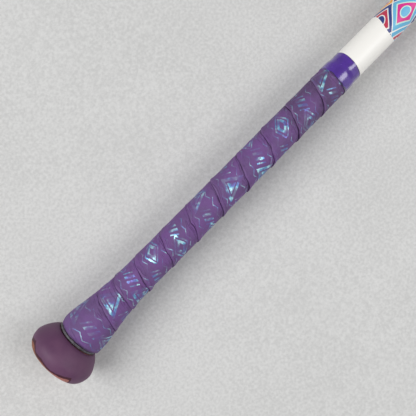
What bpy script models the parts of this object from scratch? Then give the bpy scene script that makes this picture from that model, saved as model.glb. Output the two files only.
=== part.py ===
# Softball bat in two main pieces, a slim handle and a hollow barrel.
# The bat lies along X: the knob's end face is at the origin and the barrel points to +X.
# Sizes are in metres. Every round piece has a flat side facing straight down, where the bat rests.

import math

import bmesh
import bpy
import numpy as np
from mathutils import Matrix, Vector

for thing in list(bpy.data.objects):
    bpy.data.objects.remove(thing)

mm = 0.001

# Play between pieces that touch, and how round the pieces are
clearance = 0.3 * mm
wide_sides = 40
slim_sides = 32
turn_steps = 24

# Knob: a moulded core in a thin coloured skin
knob_length = 20.9 * mm
knob_diameter = 47.8 * mm
knob_rim_depth = 8.2 * mm
knob_rim_width = 4.3 * mm
knob_rim_fullness = 1.8
shoulder_start = 0.29
shoulder_end = 0.93
shoulder_drop = 0.38
knob_neck_wall = 4.8 * mm
knob_skin = 0.9 * mm
knob_skin_share = 0.28
knob_floor = 5.0 * mm
socket_chamfer = 0.8 * mm

# Rubber ring between the knob and the grip
ring_width = 2.1 * mm
ring_round = 0.9 * mm

# Handle tube
handle_diameter = 22.2 * mm
handle_wall = 2.2 * mm
grip_recess = 1.0 * mm
bare_handle = 50.4 * mm
seat_step = 0.4 * mm

# Foam plug in the handle's bore
plug_length = 42.0 * mm
plug_chamfer = 1.0 * mm

# Flare of the grip above the knob, and the rubber cone that makes it
flare_length = 62.0 * mm
flare_rise = 4.4 * mm
flare_lift_share = 0.13
flare_settle_share = 0.28
cone_edge = 0.6 * mm
cone_steps = 10
cone_play = 0.25 * mm

# Wound grip tape: each turn's raised edge lies over the thin edge of the turn before
grip_length = 253.1 * mm
tape_thickness = 1.35 * mm
tape_pitch = 24.6 * mm
first_turn_widths = (26.6 * mm, 14.9 * mm, 18.6 * mm, 24.0 * mm)
first_turn_share = 0.75
lap_width = 3.2 * mm
lap_edge = 0.42 * mm
lap_gap = 0.45 * mm
seam_gap = 0.5 * mm
seam_ridge = 0.3 * mm
ridge_run = 7.0 * mm
tape_end_width = 9.0 * mm
tape_start_turn = 0.12

# Band of tape that finishes the grip
band_width = 15.6 * mm
band_thickness = 0.45 * mm
band_round = 0.15 * mm

# Barrel and its taper
barrel_diameter = 57.2 * mm
barrel_length = 287.2 * mm
taper_length = 160.0 * mm
barrel_wall = 3.0 * mm
taper_steps = 14

# Joint between the handle's flared end and the barrel's throat
throat_place = 63.0 * mm
joint_overlap = 45.0 * mm
liner_thickness = 1.6 * mm
collar_length = 38.0 * mm
collar_lip = 0.6 * mm

# End cap
cap_face = 8.0 * mm
cap_plate = 4.5 * mm
cap_round = 5.0 * mm
cap_dish_radius = 14.0 * mm
cap_dish_depth = 2.5 * mm
skirt_length = 22.0 * mm
skirt_wall = 2.5 * mm
latch_height = 0.7 * mm
latch_width = 4.0 * mm
latch_setback = 13.0 * mm
hub_radius = 6.0 * mm
rib_count = 8
rib_thickness = 1.8 * mm
rib_depth = 8.0 * mm

# Radii that follow from the sizes above
handle_radius = handle_diameter / 2
grip_seat_radius = handle_radius - grip_recess
bore_radius = grip_seat_radius - handle_wall
knob_radius = knob_diameter / 2
neck_radius = grip_seat_radius + clearance + knob_neck_wall
wrap_inner_radius = grip_seat_radius + clearance
flare_at_ring = neck_radius - wrap_inner_radius - tape_thickness
band_seat_radius = wrap_inner_radius + lap_edge
barrel_radius = barrel_diameter / 2
barrel_bore = barrel_radius - barrel_wall

# Places along the bat, from the knob's end face
handle_start = knob_floor + clearance
ring_start = knob_length + clearance
grip_start = ring_start + ring_width + clearance
grip_end = grip_start + grip_length
band_start = grip_end - lap_width
band_end = band_start + band_width
taper_start = band_end + clearance + seat_step + bare_handle
taper_end = taper_start + taper_length
throat = taper_start + throat_place
handle_end = throat + joint_overlap
bat_end = taper_end + barrel_length
shell_end = bat_end - cap_face - clearance
skirt_start = bat_end - cap_face - skirt_length

# How far the handle's flared end stands inside the bat's outer shape
joint_inset = barrel_wall + clearance + liner_thickness + clearance


def finish(name, colour, roughness, metallic=0.0):
    material = bpy.data.materials.new(name)
    material.use_nodes = True
    shader = material.node_tree.nodes["Principled BSDF"]
    shader.inputs["Base Color"].default_value = (*colour, 1.0)
    shader.inputs["Roughness"].default_value = roughness
    shader.inputs["Metallic"].default_value = metallic
    material.diffuse_color = (*colour, 1.0)
    return material


def add_piece(name, mesh, material):
    mesh.materials.append(material)
    mesh.shade_smooth()
    mesh.set_sharp_from_angle(angle=math.radians(35))
    piece = bpy.data.objects.new(name, mesh)
    bpy.context.scene.collection.objects.link(piece)
    return piece


def close_mesh(name, shape):
    bmesh.ops.remove_doubles(shape, verts=shape.verts, dist=0.001 * mm)
    bmesh.ops.recalc_face_normals(shape, faces=shape.faces)
    mesh = bpy.data.meshes.new(name)
    shape.to_mesh(mesh)
    shape.free()
    return mesh


# A profile is a run of (place along X, radius). It closes on itself, or starts and ends on the axis.
# Its first corners lie half a step from straight down, unless another angle is given.
def turned_mesh(name, profile, sides, first_angle=None):
    shape = bmesh.new()
    if first_angle is None:
        first_angle = math.pi / sides - math.pi / 2
    spoke = Vector((0, math.cos(first_angle), math.sin(first_angle)))
    corners = [shape.verts.new(Vector((x, 0, 0)) + radius * spoke) for x, radius in profile]
    edges = [shape.edges.new(pair) for pair in zip(corners, corners[1:])]
    if profile[0][1] > 0:
        edges.append(shape.edges.new((corners[-1], corners[0])))
    bmesh.ops.spin(shape, geom=corners + edges, cent=(0, 0, 0), axis=(1, 0, 0),
                   angle=2 * math.pi, steps=sides, use_merge=True)
    return close_mesh(name, shape)


def turn(name, profile, sides, material, first_angle=None):
    return add_piece(name, turned_mesh(name, profile, sides, first_angle), material)


def bezier(start, lift, settle, end, steps):
    run = []
    for step in range(steps + 1):
        t = step / steps
        weights = ((1 - t) ** 3, 3 * t * (1 - t) ** 2, 3 * t ** 2 * (1 - t), t ** 3)
        run.append(tuple(sum(w * point[axis] for w, point in zip(weights, (start, lift, settle, end)))
                         for axis in (0, 1)))
    return run


# A run moved sideways by depth, towards the axis side of a run that goes to +X
def inset(run, depth):
    moved = []
    for index, (x, radius) in enumerate(run):
        before = run[max(index - 1, 0)]
        after = run[min(index + 1, len(run) - 1)]
        along = Vector((after[0] - before[0], after[1] - before[1])).normalized()
        moved.append((x + along.y * depth, radius - along.x * depth))
    return moved


# The part of a run before a place along the bat, ending exactly there
def cut_off(run, end):
    kept = [point for point in run if point[0] < end]
    (near_x, near_radius), (far_x, far_radius) = kept[-1], run[len(kept)]
    share = (end - near_x) / (far_x - near_x)
    return kept + [(end, near_radius + (far_radius - near_radius) * share)]


# Radius of the bat's outer shape from the bare handle to the barrel's end
def bat_radius(x):
    share = min(max((x - taper_start) / taper_length, 0.0), 1.0)
    return handle_radius + (barrel_radius - handle_radius) * share ** 2 * (3 - 2 * share)


# The same stations serve every piece of the taper, so that their facets lie parallel
def taper_stations(start, end):
    step = taper_length / taper_steps
    grid = [taper_start + index * step for index in range(taper_steps + 1)]
    return [start] + [x for x in grid if start + step / 3 < x < end - step / 3] + [end]


# Handle radius beyond the start of the taper: nearly straight up to the throat, then flared
def joint_radius(x):
    throat_radius = bat_radius(throat) - joint_inset
    if x > throat:
        return bat_radius(x) - joint_inset
    share = (x - taper_start) / throat_place
    return handle_radius + (throat_radius - handle_radius) * share


flare_curve = np.array(bezier((0.0, flare_at_ring),
                              (flare_lift_share * flare_length, flare_at_ring + flare_rise),
                              (flare_settle_share * flare_length, 0.0), (flare_length, 0.0), 40))


# How much higher the grip stands at a place along the bat than on the straight handle
def flare(x):
    return float(np.interp(x - grip_start, flare_curve[:, 0], flare_curve[:, 1]))


# The knob's outer shape: a rounded rim, then a shoulder that sweeps in to the neck
def knob_outline():
    power = 2 / knob_rim_fullness
    rim = []
    for degrees in (0, 13, 26, 39, 52, 65, 78, 90):
        angle = math.radians(degrees)
        rim.append((knob_rim_depth * (1 - abs(math.cos(angle)) ** power),
                    knob_radius - knob_rim_width * (1 - math.sin(angle) ** power)))
    widest = (knob_rim_depth, knob_radius)
    shoulder = knob_length - knob_rim_depth
    lift = (knob_rim_depth + shoulder_start * shoulder, knob_radius)
    settle = (knob_rim_depth + shoulder_end * shoulder,
              neck_radius + shoulder_drop * (knob_radius - neck_radius))
    sweep = bezier(widest, lift, settle, (knob_length, neck_radius), 8)
    return rim[:-1], sweep


def build_knob():
    rim, sweep = knob_outline()
    tube_hole = grip_seat_radius + clearance
    neck_face = knob_length - knob_skin
    core_face = neck_face - clearance
    skin_edge = knob_radius - knob_rim_width * (1 - knob_skin_share)

    # The skin starts part of the way out on the rim and turns in over the neck's end
    covered = [point for point in rim if point[1] > skin_edge] + sweep
    skin = covered + [(knob_length, tube_hole), (neck_face, tube_hole)]
    skin += cut_off(inset(covered, knob_skin), neck_face)[::-1]
    turn("knob_cover", skin, wide_sides, finish("knob_skin", (0.13, 0.055, 0.115), 0.45))

    # The core stands level with the skin at its end face and has a socket for the handle
    bare = [point for point in rim if point[1] < skin_edge - clearance]
    core = [(0.0, 0.0)] + bare + cut_off(inset(covered, knob_skin + clearance), core_face)
    core += [(core_face, tube_hole + socket_chamfer), (core_face - socket_chamfer, tube_hole),
             (knob_floor, tube_hole), (knob_floor, 0.0)]
    turn("knob_core", core, wide_sides, finish("knob_core", (0.50, 0.20, 0.14), 0.6))


def build_ring():
    inner = grip_seat_radius + clearance
    end = ring_start + ring_width
    profile = [(ring_start, inner)]
    for centre, start_angle in ((ring_start + ring_round, 180), (end - ring_round, 90)):
        for step in range(4):
            angle = math.radians(start_angle - 30 * step)
            profile.append((centre + ring_round * math.cos(angle),
                            neck_radius - ring_round + ring_round * math.sin(angle)))
    profile.append((end, inner))
    turn("knob_ring", profile, slim_sides, finish("ring_rubber", (0.02, 0.02, 0.022), 0.5))


def build_handle():
    seat_end = band_end + clearance
    outer = [(handle_start, grip_seat_radius - socket_chamfer), (handle_start + socket_chamfer, grip_seat_radius),
             (grip_end + clearance, grip_seat_radius), (grip_end + clearance, band_seat_radius),
             (seat_end, band_seat_radius), (seat_end + seat_step, handle_radius)]
    flared = taper_stations(throat, handle_end)
    outer += [(taper_start, handle_radius)] + [(x, joint_radius(x)) for x in flared]
    inner = [(handle_start, bore_radius), (band_end, bore_radius), (taper_start, handle_radius - handle_wall)]
    inner += [(x, joint_radius(x) - handle_wall) for x in flared]
    turn("handle_tube", outer + inner[::-1], slim_sides, finish("white_lacquer", (0.90, 0.88, 0.85), 0.25))

    radius = bore_radius - clearance
    start = handle_start + plug_chamfer
    end = start + plug_length
    plug = [(start, 0.0), (start, radius - plug_chamfer), (start + plug_chamfer, radius),
            (end - plug_chamfer, radius), (end, radius - plug_chamfer), (end, 0.0)]
    turn("handle_plug", plug, turn_steps, finish("plug_foam", (0.10, 0.10, 0.11), 0.9))


def build_cone():
    inner = grip_seat_radius + clearance
    thin = [x for x, height in flare_curve if height > clearance + cone_edge]
    end = grip_start + max(thin)
    places = [grip_start + (end - grip_start) * step / cone_steps for step in range(cone_steps + 1)]
    outer = [(x, grip_seat_radius + flare(x) - cone_play) for x in places]
    turn("taper_sleeve", [(grip_start, inner)] + outer + [(end, inner)], turn_steps,
         finish("cone_rubber", (0.06, 0.06, 0.065), 0.7), first_angle=math.pi / 2)


# Place of the tape's raised edge after a number of turns, smooth through the uneven first ones.
# The first turn lies along the ring all the way round.
def seam_table():
    turns = [1.0, 1.0 + first_turn_share]
    places = [grip_start, grip_start + first_turn_widths[0]]
    for width in first_turn_widths[1:]:
        turns.append(turns[-1] + 1)
        places.append(places[-1] + width)
    while places[-1] < grip_end + tape_pitch:
        turns.append(turns[-1] + 1)
        places.append(places[-1] + tape_pitch)
    return np.array(turns), np.array(places)


seam_turns, seam_places = seam_table()
seam_slopes = np.gradient(seam_places, seam_turns)


def seam(turn_count):
    if turn_count <= 1.0:
        return grip_start
    index = min(int(np.searchsorted(seam_turns, turn_count)) - 1, len(seam_turns) - 2)
    span = seam_turns[index + 1] - seam_turns[index]
    t = (turn_count - seam_turns[index]) / span
    ends = seam_places[index] * (1 + 2 * t) * (1 - t) ** 2 + seam_places[index + 1] * t ** 2 * (3 - 2 * t)
    slopes = seam_slopes[index] * t * (1 - t) ** 2 - seam_slopes[index + 1] * t ** 2 * (1 - t)
    return float(ends + span * slopes)


# One cross-section of the tape: from its raised edge over the top to the thin edge, and back below
def tape_section(raised, next_raised, rides):
    def below(x):
        return wrap_inner_radius + flare(x)

    def above(x):
        return below(x) + tape_thickness

    shoulder = next_raised - seam_gap
    lap_end = next_raised + lap_width
    width = shoulder - raised
    lift = lap_edge + lap_gap if rides else 0.0
    crest = raised + 0.02 * width
    fall = raised + min(0.5 * width, ridge_run)
    middle = (fall + shoulder) / 2
    step = min(raised + lap_width + seam_gap, lap_end - seam_gap)
    under = [lap_end + (step - lap_end) * share / 3 for share in range(4)]
    return [(raised, below(raised) + lift), (crest, above(crest) + seam_ridge),
            ((crest + fall) / 2, above(fall) + 0.6 * seam_ridge), (fall, above(fall)),
            (middle, above(middle)), (shoulder, above(shoulder)),
            (shoulder, below(shoulder) + lap_edge), (lap_end, below(lap_end) + lap_edge),
            *((x, below(x)) for x in under), (step, below(step) + lift)]


def build_wrap():
    first = round(tape_start_turn * turn_steps)
    last = first
    while seam(last / turn_steps) < grip_end - tape_end_width:
        last += 1
    rows = []
    for row in range(first, last + 1):
        turns = row / turn_steps
        covered = row + turn_steps <= last + 1
        next_raised = seam(turns + 1) if covered else grip_end - lap_width
        rides = row >= first + turn_steps - 1
        raised = seam(turns) if rides else grip_start
        section = tape_section(raised, next_raised, rides)
        angle = math.pi / 2 - 2 * math.pi * (turns - first_turn_share)
        spoke = Vector((0, math.cos(angle), math.sin(angle)))
        rows.append([Vector((x, 0, 0)) + radius * spoke for x, radius in section])
    shape = bmesh.new()
    rings = [[shape.verts.new(point) for point in row] for row in rows]
    count = len(rings[0])
    for near, far in zip(rings, rings[1:]):
        for index in range(count):
            following = (index + 1) % count
            shape.faces.new((near[index], near[following], far[following], far[index]))
    shape.faces.new(rings[0])
    shape.faces.new(rings[-1][::-1])
    add_piece("grip_wrap", close_mesh("grip_wrap", shape), finish("grip_tape", (0.16, 0.08, 0.26), 0.75))
    print(f"grip_wrap: {(last - first) / turn_steps:.2f} turns, least gap to itself "
          f"{least_gap(rows) / mm:.2f} mm")


# Least distance between the surface points of turns that lie side by side
def least_gap(rows):
    dense = []
    for row in rows:
        points = []
        for here, there in zip(row, row[1:] + row[:1]):
            points += [here.lerp(there, share / 6) for share in range(6)]
        dense.append(np.array(points))
    least = math.inf
    for index, near in enumerate(dense):
        for far in dense[index + turn_steps - 2:index + turn_steps + 3]:
            apart = np.linalg.norm(near[:, None, :] - far[None, :, :], axis=2)
            least = min(least, float(apart.min()))
    return least


def build_band():
    inner = band_seat_radius + clearance
    outer = inner + band_thickness
    profile = [(band_start, inner), (band_start, outer - band_round), (band_start + band_round, outer),
               (band_end - band_round, outer), (band_end, outer - band_round), (band_end, inner)]
    turn("finishing_tape", profile, slim_sides, finish("band_vinyl", (0.09, 0.03, 0.30), 0.2))


def build_joint():
    start = throat - clearance - collar_length
    end = throat - clearance
    places = taper_stations(start, end)
    inner = [(x, joint_radius(x) + clearance) for x in (start, end)]

    def collar_radius(x):
        return max(bat_radius(x), joint_radius(x) + clearance + collar_lip)

    outer = [(x, collar_radius(x)) for x in places]
    turn("joint_collar", outer + inner[::-1], wide_sides, finish("collar_rubber", (0.03, 0.03, 0.035), 0.45))

    places = taper_stations(throat, handle_end)
    outer = [(x, bat_radius(x) - barrel_wall - clearance) for x in places]
    inner = [(x, radius - liner_thickness) for x, radius in outer]
    turn("joint_sleeve", outer + inner[::-1], wide_sides, finish("liner_elastomer", (0.07, 0.07, 0.08), 0.6))


# The latch is a ridge on the cap's skirt that snaps into a groove in the barrel's wall
def latch(radius, width):
    middle = skirt_start + latch_setback
    return [(middle - width / 2, radius), (middle - width / 6, radius + latch_height),
            (middle + width / 6, radius + latch_height), (middle + width / 2, radius)]


def build_barrel():
    places = taper_stations(throat, taper_end)
    outer = [(x, bat_radius(x)) for x in places] + [(shell_end, barrel_radius)]
    inner = [(x, bat_radius(x) - barrel_wall) for x in places]
    inner += latch(barrel_bore, latch_width + 2 * clearance) + [(shell_end, barrel_bore)]
    turn("barrel_shell", outer + inner[::-1], wide_sides, finish("barrel_lacquer", (0.88, 0.87, 0.85), 0.22))


def build_cap():
    skirt = barrel_bore - clearance
    floor = bat_end - cap_plate
    dish = []
    dish_steps = 5
    for step in range(dish_steps + 1):
        share = step / dish_steps
        dish.append((bat_end - cap_dish_depth * (1 - share ** 2), cap_dish_radius * share))
    edge = []
    for step in range(5):
        angle = math.radians(90 * step / 4)
        edge.append((bat_end - cap_round + cap_round * math.cos(angle),
                     barrel_radius - cap_round + cap_round * math.sin(angle)))
    flange = [(bat_end - cap_face, barrel_radius), (bat_end - cap_face, skirt)]
    outside = latch(skirt, latch_width)[::-1] + [(skirt_start + skirt_wall / 2, skirt)]
    outside += [(skirt_start, skirt - skirt_wall / 2), (skirt_start, skirt - skirt_wall)]
    inside = [(floor, skirt - skirt_wall), (floor, hub_radius), (floor - rib_depth, hub_radius),
              (floor - rib_depth, 0.0)]
    cap = turn("end_cap", dish + edge + flange + outside + inside, wide_sides,
               finish("cap_urethane", (0.03, 0.03, 0.035), 0.5))

    # Ribs from the hub to the skirt, sunk a little into both and into the plate.
    # They start where they would meet each other inside the hub.
    ribs = bmesh.new()
    sunk = 0.5 * mm
    rib_start = rib_thickness / 2 / math.tan(math.pi / rib_count) + clearance
    rib_end = skirt - skirt_wall + sunk
    for index in range(rib_count):
        corners = bmesh.ops.create_cube(ribs, size=1.0)["verts"]
        bmesh.ops.scale(ribs, verts=corners, vec=(rib_depth, rib_end - rib_start, rib_thickness))
        bmesh.ops.translate(ribs, verts=corners, vec=(floor + sunk - rib_depth / 2, (rib_end + rib_start) / 2, 0))
        bmesh.ops.rotate(ribs, verts=corners, cent=(0, 0, 0),
                         matrix=Matrix.Rotation(2 * math.pi * (index + 0.5) / rib_count, 3, "X"))
    mesh = bpy.data.meshes.new("rib_shapes")
    ribs.to_mesh(mesh)
    ribs.free()
    shapes = bpy.data.objects.new("rib_shapes", mesh)
    bpy.context.scene.collection.objects.link(shapes)
    shapes.hide_render = True
    shapes.display_type = "WIRE"
    joined = cap.modifiers.new("ribs", "BOOLEAN")
    joined.operation = "UNION"
    joined.object = shapes


build_knob()
build_ring()
build_handle()
build_cone()
build_wrap()
build_band()
build_joint()
build_barrel()
build_cap()
print(f"bat: {bat_end / mm:.1f} mm long, barrel {barrel_diameter / mm:.1f} mm across")
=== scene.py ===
# Softball bat, dressed for a picture. It lies along X with the end of its knob at the origin.
# Sizes are in metres, or in mm where a note says so. Colours are written as they look on screen,
# from 0 to 255.

import math

import bmesh
import bpy
import numpy as np
from mathutils import Matrix, Vector


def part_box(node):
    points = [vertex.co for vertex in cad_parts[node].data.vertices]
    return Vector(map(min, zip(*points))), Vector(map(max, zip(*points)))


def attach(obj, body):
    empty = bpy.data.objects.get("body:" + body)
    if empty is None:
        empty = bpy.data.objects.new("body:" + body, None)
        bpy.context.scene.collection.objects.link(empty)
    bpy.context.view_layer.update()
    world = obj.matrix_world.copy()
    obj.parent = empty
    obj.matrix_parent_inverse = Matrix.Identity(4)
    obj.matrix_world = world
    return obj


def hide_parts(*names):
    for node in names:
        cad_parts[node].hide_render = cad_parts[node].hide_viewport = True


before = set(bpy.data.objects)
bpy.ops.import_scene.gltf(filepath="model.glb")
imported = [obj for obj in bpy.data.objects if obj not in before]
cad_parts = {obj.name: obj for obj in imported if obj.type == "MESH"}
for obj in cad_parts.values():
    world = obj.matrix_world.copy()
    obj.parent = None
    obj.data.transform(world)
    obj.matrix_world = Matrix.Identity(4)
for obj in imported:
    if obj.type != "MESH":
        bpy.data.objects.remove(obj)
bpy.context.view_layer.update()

mm = 0.001
weldDistance = 0.002 * mm


# Node trees

class Flow:
    # A number on its way through a node tree: sums and products of it add Math nodes
    def __init__(self, socket):
        self.tree = socket.id_data
        self.socket = socket

    def math(self, operation, *others):
        node = addNode(self.tree, "ShaderNodeMath", operation=operation)
        for socket, value in zip(node.inputs, (self, *others)):
            plug(value, socket)
        return Flow(node.outputs[0])

    def __add__(self, other):
        return self.math("ADD", other)

    def __sub__(self, other):
        return self.math("SUBTRACT", other)

    def __mul__(self, other):
        return self.math("MULTIPLY", other)

    def __truediv__(self, other):
        return self.math("DIVIDE", other)

    def __mod__(self, other):
        return self.math("FLOORED_MODULO", other)

    def most(self, other):
        return self.math("MAXIMUM", other)

    def size(self):
        return self.math("ABSOLUTE")

    def floor(self):
        return self.math("FLOOR")

    def under(self, limit):
        return self.math("LESS_THAN", limit)

    def flip(self):
        # What this number lacks of 1
        return self * -1.0 + 1.0

    def fade(self, low, high):
        # Goes softly from 0 to 1 while this number goes from low to high; low may be the larger
        node = addNode(self.tree, "ShaderNodeMapRange", interpolation_type="SMOOTHSTEP")
        for socket, value in zip(node.inputs, (self, low, high, 0.0, 1.0)):
            plug(value, socket)
        return Flow(node.outputs["Result"])

    def mix(self, first, second):
        # The first colour where this number is 0, the second where it is 1
        node = addNode(self.tree, "ShaderNodeMix", {0: self, 6: first, 7: second}, data_type="RGBA")
        return node.outputs[2]


def plug(value, socket):
    if isinstance(value, Flow):
        value = value.socket
    if isinstance(value, bpy.types.NodeSocket):
        socket.id_data.links.new(value, socket)
    else:
        socket.default_value = value


def addNode(tree, kind, inputs=None, **options):
    node = tree.nodes.new(kind)
    for option, value in options.items():
        setattr(node, option, value)
    for name, value in (inputs or {}).items():
        plug(value, node.inputs[name])
    return node


def curveOf(value, points):
    # A Float Curve with straight runs between points whose places and heights both run from 0 to 1
    node = addNode(value.tree, "ShaderNodeFloatCurve", {"Value": value})
    curve = node.mapping.curves[0]
    while len(curve.points) < len(points):
        curve.points.new(0.5, 0.5)
    for point, (place, height) in zip(curve.points, points):
        point.location = (place, height)
        point.handle_type = "VECTOR"
    node.mapping.update()
    return Flow(node.outputs[0])


def splitVector(vector):
    node = addNode(vector.id_data, "ShaderNodeSeparateXYZ", {0: vector})
    return [Flow(output) for output in node.outputs]


def joinVector(tree, x, y, z):
    return addNode(tree, "ShaderNodeCombineXYZ", {0: x, 1: y, 2: z}).outputs[0]


def linear(red, green, blue):
    # A colour as it looks on screen, made into the light values that nodes take
    shares = [value / 255 for value in (red, green, blue)]
    shares = [share / 12.92 if share <= 0.04045 else ((share + 0.055) / 1.055) ** 2.4 for share in shares]
    return (*shares, 1.0)


def ramp(tree, value, stops, interpolation="LINEAR"):
    node = addNode(tree, "ShaderNodeValToRGB", {0: value})
    node.color_ramp.interpolation = interpolation
    while len(node.color_ramp.elements) < len(stops):
        node.color_ramp.elements.new(0.5)
    for element, (place, colour) in zip(node.color_ramp.elements, stops):
        element.position = place
        element.color = colour
    return node.outputs[0]


def noise(place, scale, detail=2.0, roughness=0.5, stretch=(1, 1, 1)):
    # Noise whose scale is the size of its blotches; stretch lengthens them along an axis
    tree = place.id_data
    density = [1 / (scale * axis) for axis in stretch]
    scaled = addNode(tree, "ShaderNodeVectorMath", {0: place, 1: density}, operation="MULTIPLY")
    node = addNode(tree, "ShaderNodeTexNoise", {
        "Vector": scaled.outputs[0], "Scale": 1.0, "Detail": detail, "Roughness": roughness})
    return Flow(node.outputs[0])


def attributeOf(tree, name):
    return Flow(addNode(tree, "ShaderNodeAttribute", attribute_name=name).outputs["Fac"])


def newRule(name, inputs):
    # An empty geometry tree with named inputs of each kind: gives the tree, its sockets and what they bring
    tree = bpy.data.node_groups.new(name, "GeometryNodeTree")
    tree.interface.new_socket("Geometry", in_out="OUTPUT", socket_type="NodeSocketGeometry")
    sockets = {}
    for kind, titles in inputs.items():
        for title in titles:
            socket = tree.interface.new_socket(title, in_out="INPUT", socket_type="NodeSocket" + kind)
            sockets[title] = socket.identifier
    entry = tree.nodes.new("NodeGroupInput").outputs
    return tree, sockets, {title: Flow(entry[title]) for title in sockets}


def endRule(tree, geometry, material):
    real = addNode(tree, "GeometryNodeRealizeInstances", {"Geometry": geometry})
    painted = addNode(tree, "GeometryNodeSetMaterial", {"Geometry": real.outputs[0], "Material": material})
    tree.links.new(painted.outputs[0], tree.nodes.new("NodeGroupOutput").inputs[0])


def addObject(name, data):
    item = bpy.data.objects.new(name, data)
    bpy.context.scene.collection.objects.link(item)
    return item


def grow(tree, sockets, values):
    # Runs a geometry tree on its own and keeps the result as a plain mesh
    holder = addObject(tree.name, bpy.data.meshes.new(tree.name))
    modifier = holder.modifiers.new(tree.name, "NODES")
    modifier.node_group = tree
    for title, value in values.items():
        modifier[sockets[title]] = value
    mesh = bpy.data.meshes.new_from_object(holder.evaluated_get(bpy.context.evaluated_depsgraph_get()))
    bpy.data.objects.remove(holder)
    return mesh


def newMaterial(name):
    material = bpy.data.materials.new(name)
    material.use_nodes = True
    tree = material.node_tree
    return material, tree.nodes["Principled BSDF"], addNode(tree, "ShaderNodeTexCoord").outputs["Object"]


def paint(shader, looks):
    for title, value in looks.items():
        plug(value, shader.inputs[title])


def bump(shader, height, depth):
    node = addNode(shader.id_data, "ShaderNodeBump", {"Height": height, "Distance": depth, "Strength": 1.0})
    plug(node.outputs[0], shader.inputs["Normal"])


def makeRubber(name, look):
    # Mottled and grainy: the look gives size and detail of its patches and of its grain, and the spread
    # of noise over which the first shade turns into the second
    material, shader, place = newMaterial(name)
    patches = noise(place, *look["patches"])
    paint(shader, {"Base Color": patches.fade(*look["spread"]).mix(*look["shades"]),
                   "Roughness": patches * look["unevenness"] + look["roughness"]})
    bump(shader, noise(place, *look["grain"]), look["grainDepth"])
    return material


# Shapes

def addMesh(name, mesh, material):
    mesh.materials.clear()
    mesh.materials.append(material)
    return addObject(name, mesh)


def closeMesh(name, shape, sharp=35):
    bmesh.ops.remove_doubles(shape, verts=shape.verts, dist=weldDistance)
    bmesh.ops.recalc_face_normals(shape, faces=shape.faces)
    mesh = bpy.data.meshes.new(name)
    shape.to_mesh(mesh)
    shape.free()
    mesh.shade_smooth()
    mesh.set_sharp_from_angle(angle=math.radians(sharp))
    return mesh


def turned(name, profile, material, sides=128):
    # The profile runs from the axis and back to it, or all the way round a wall
    shape = bmesh.new()
    corners = [shape.verts.new((x, 0, -radius)) for x, radius in profile]
    edges = [shape.edges.new(pair) for pair in zip(corners, corners[1:])]
    if profile[0][1] > 0:
        edges.append(shape.edges.new((corners[-1], corners[0])))
    bmesh.ops.spin(shape, geom=corners + edges, cent=(0, 0, 0), axis=(1, 0, 0), angle=2 * math.pi,
                   steps=sides, use_merge=True)
    return addMesh(name, closeMesh(name, shape), material)


def shaped(name, profileAt, material, sides, sharp=50, attribute=None):
    # Like turned, with a profile for each angle: places, radii and, where one is named, an attribute's values
    shape = bmesh.new()
    layer = shape.verts.layers.float.new(attribute) if attribute else None
    columns = []
    for side in range(sides):
        angle = 2 * math.pi * side / sides
        column = []
        for x, radius, *value in profileAt(angle):
            corner = shape.verts.new((x, radius * math.cos(angle), radius * math.sin(angle)))
            if layer:
                corner[layer] = value[0]
            column.append(corner)
        columns.append(column)
    closed = columns[0][0].co.yz.length > 0
    for near, far in zip(columns, columns[1:] + columns[:1]):
        for index in range(len(near) if closed else len(near) - 1):
            following = (index + 1) % len(near)
            shape.faces.new((near[index], near[following], far[following], far[index]))
    return addMesh(name, closeMesh(name, shape, sharp), material)


def settle(piece, slotName, *nodes):
    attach(piece, "root")
    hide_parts(*nodes)
    print(f"{piece.name}: {len(piece.data.polygons)} faces")


def bezier(start, lift, settleTo, end, steps):
    t = np.linspace(0, 1, steps + 1)[:, None]
    points = [np.array(point, float) for point in (start, lift, settleTo, end)]
    run = (1 - t) ** 3 * points[0] + 3 * t * (1 - t) ** 2 * points[1]
    run += 3 * t ** 2 * (1 - t) * points[2] + t ** 3 * points[3]
    return [tuple(point) for point in run]


def inset(run, depth):
    # A run moved sideways, towards the axis where it goes to +X
    points = np.array(run)
    along = np.gradient(points, axis=0)
    along /= np.linalg.norm(along, axis=1)[:, None]
    points[:, 0] += along[:, 1] * depth
    points[:, 1] -= along[:, 0] * depth
    return points


# Sizes that several pieces share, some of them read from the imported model

def spanOf(node):
    return [corner.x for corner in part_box(node)]


gripStart, gripEnd = spanOf("grip_wrap")
bandStart, bandEnd = spanOf("finishing_tape")
throat, shellEnd = spanOf("barrel_shell")
handleEnd = spanOf("handle_tube")[1]
batEnd = spanOf("end_cap")[1]
handleRadius = 11.1 * mm
seatRadius = 10.1 * mm
lacquerStart = bandEnd - 2.4 * mm
barrelRadius = 28.6 * mm
taperStart = throat - 63 * mm  # the handle has the first 63 mm of the taper
taperLength = 160 * mm
barrelWall = 3 * mm
barrelSides = 160
linerWall = 1.6 * mm
glueGap = 0.3 * mm


def eased(share):
    share = min(max(share, 0.0), 1.0)
    return share ** 2 * (3 - 2 * share)


def batRadius(x):
    return handleRadius + (barrelRadius - handleRadius) * eased((x - taperStart) / taperLength)


# Grip tape: one strip wound from the knob, each turn's raised edge lying over the turn before

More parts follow.
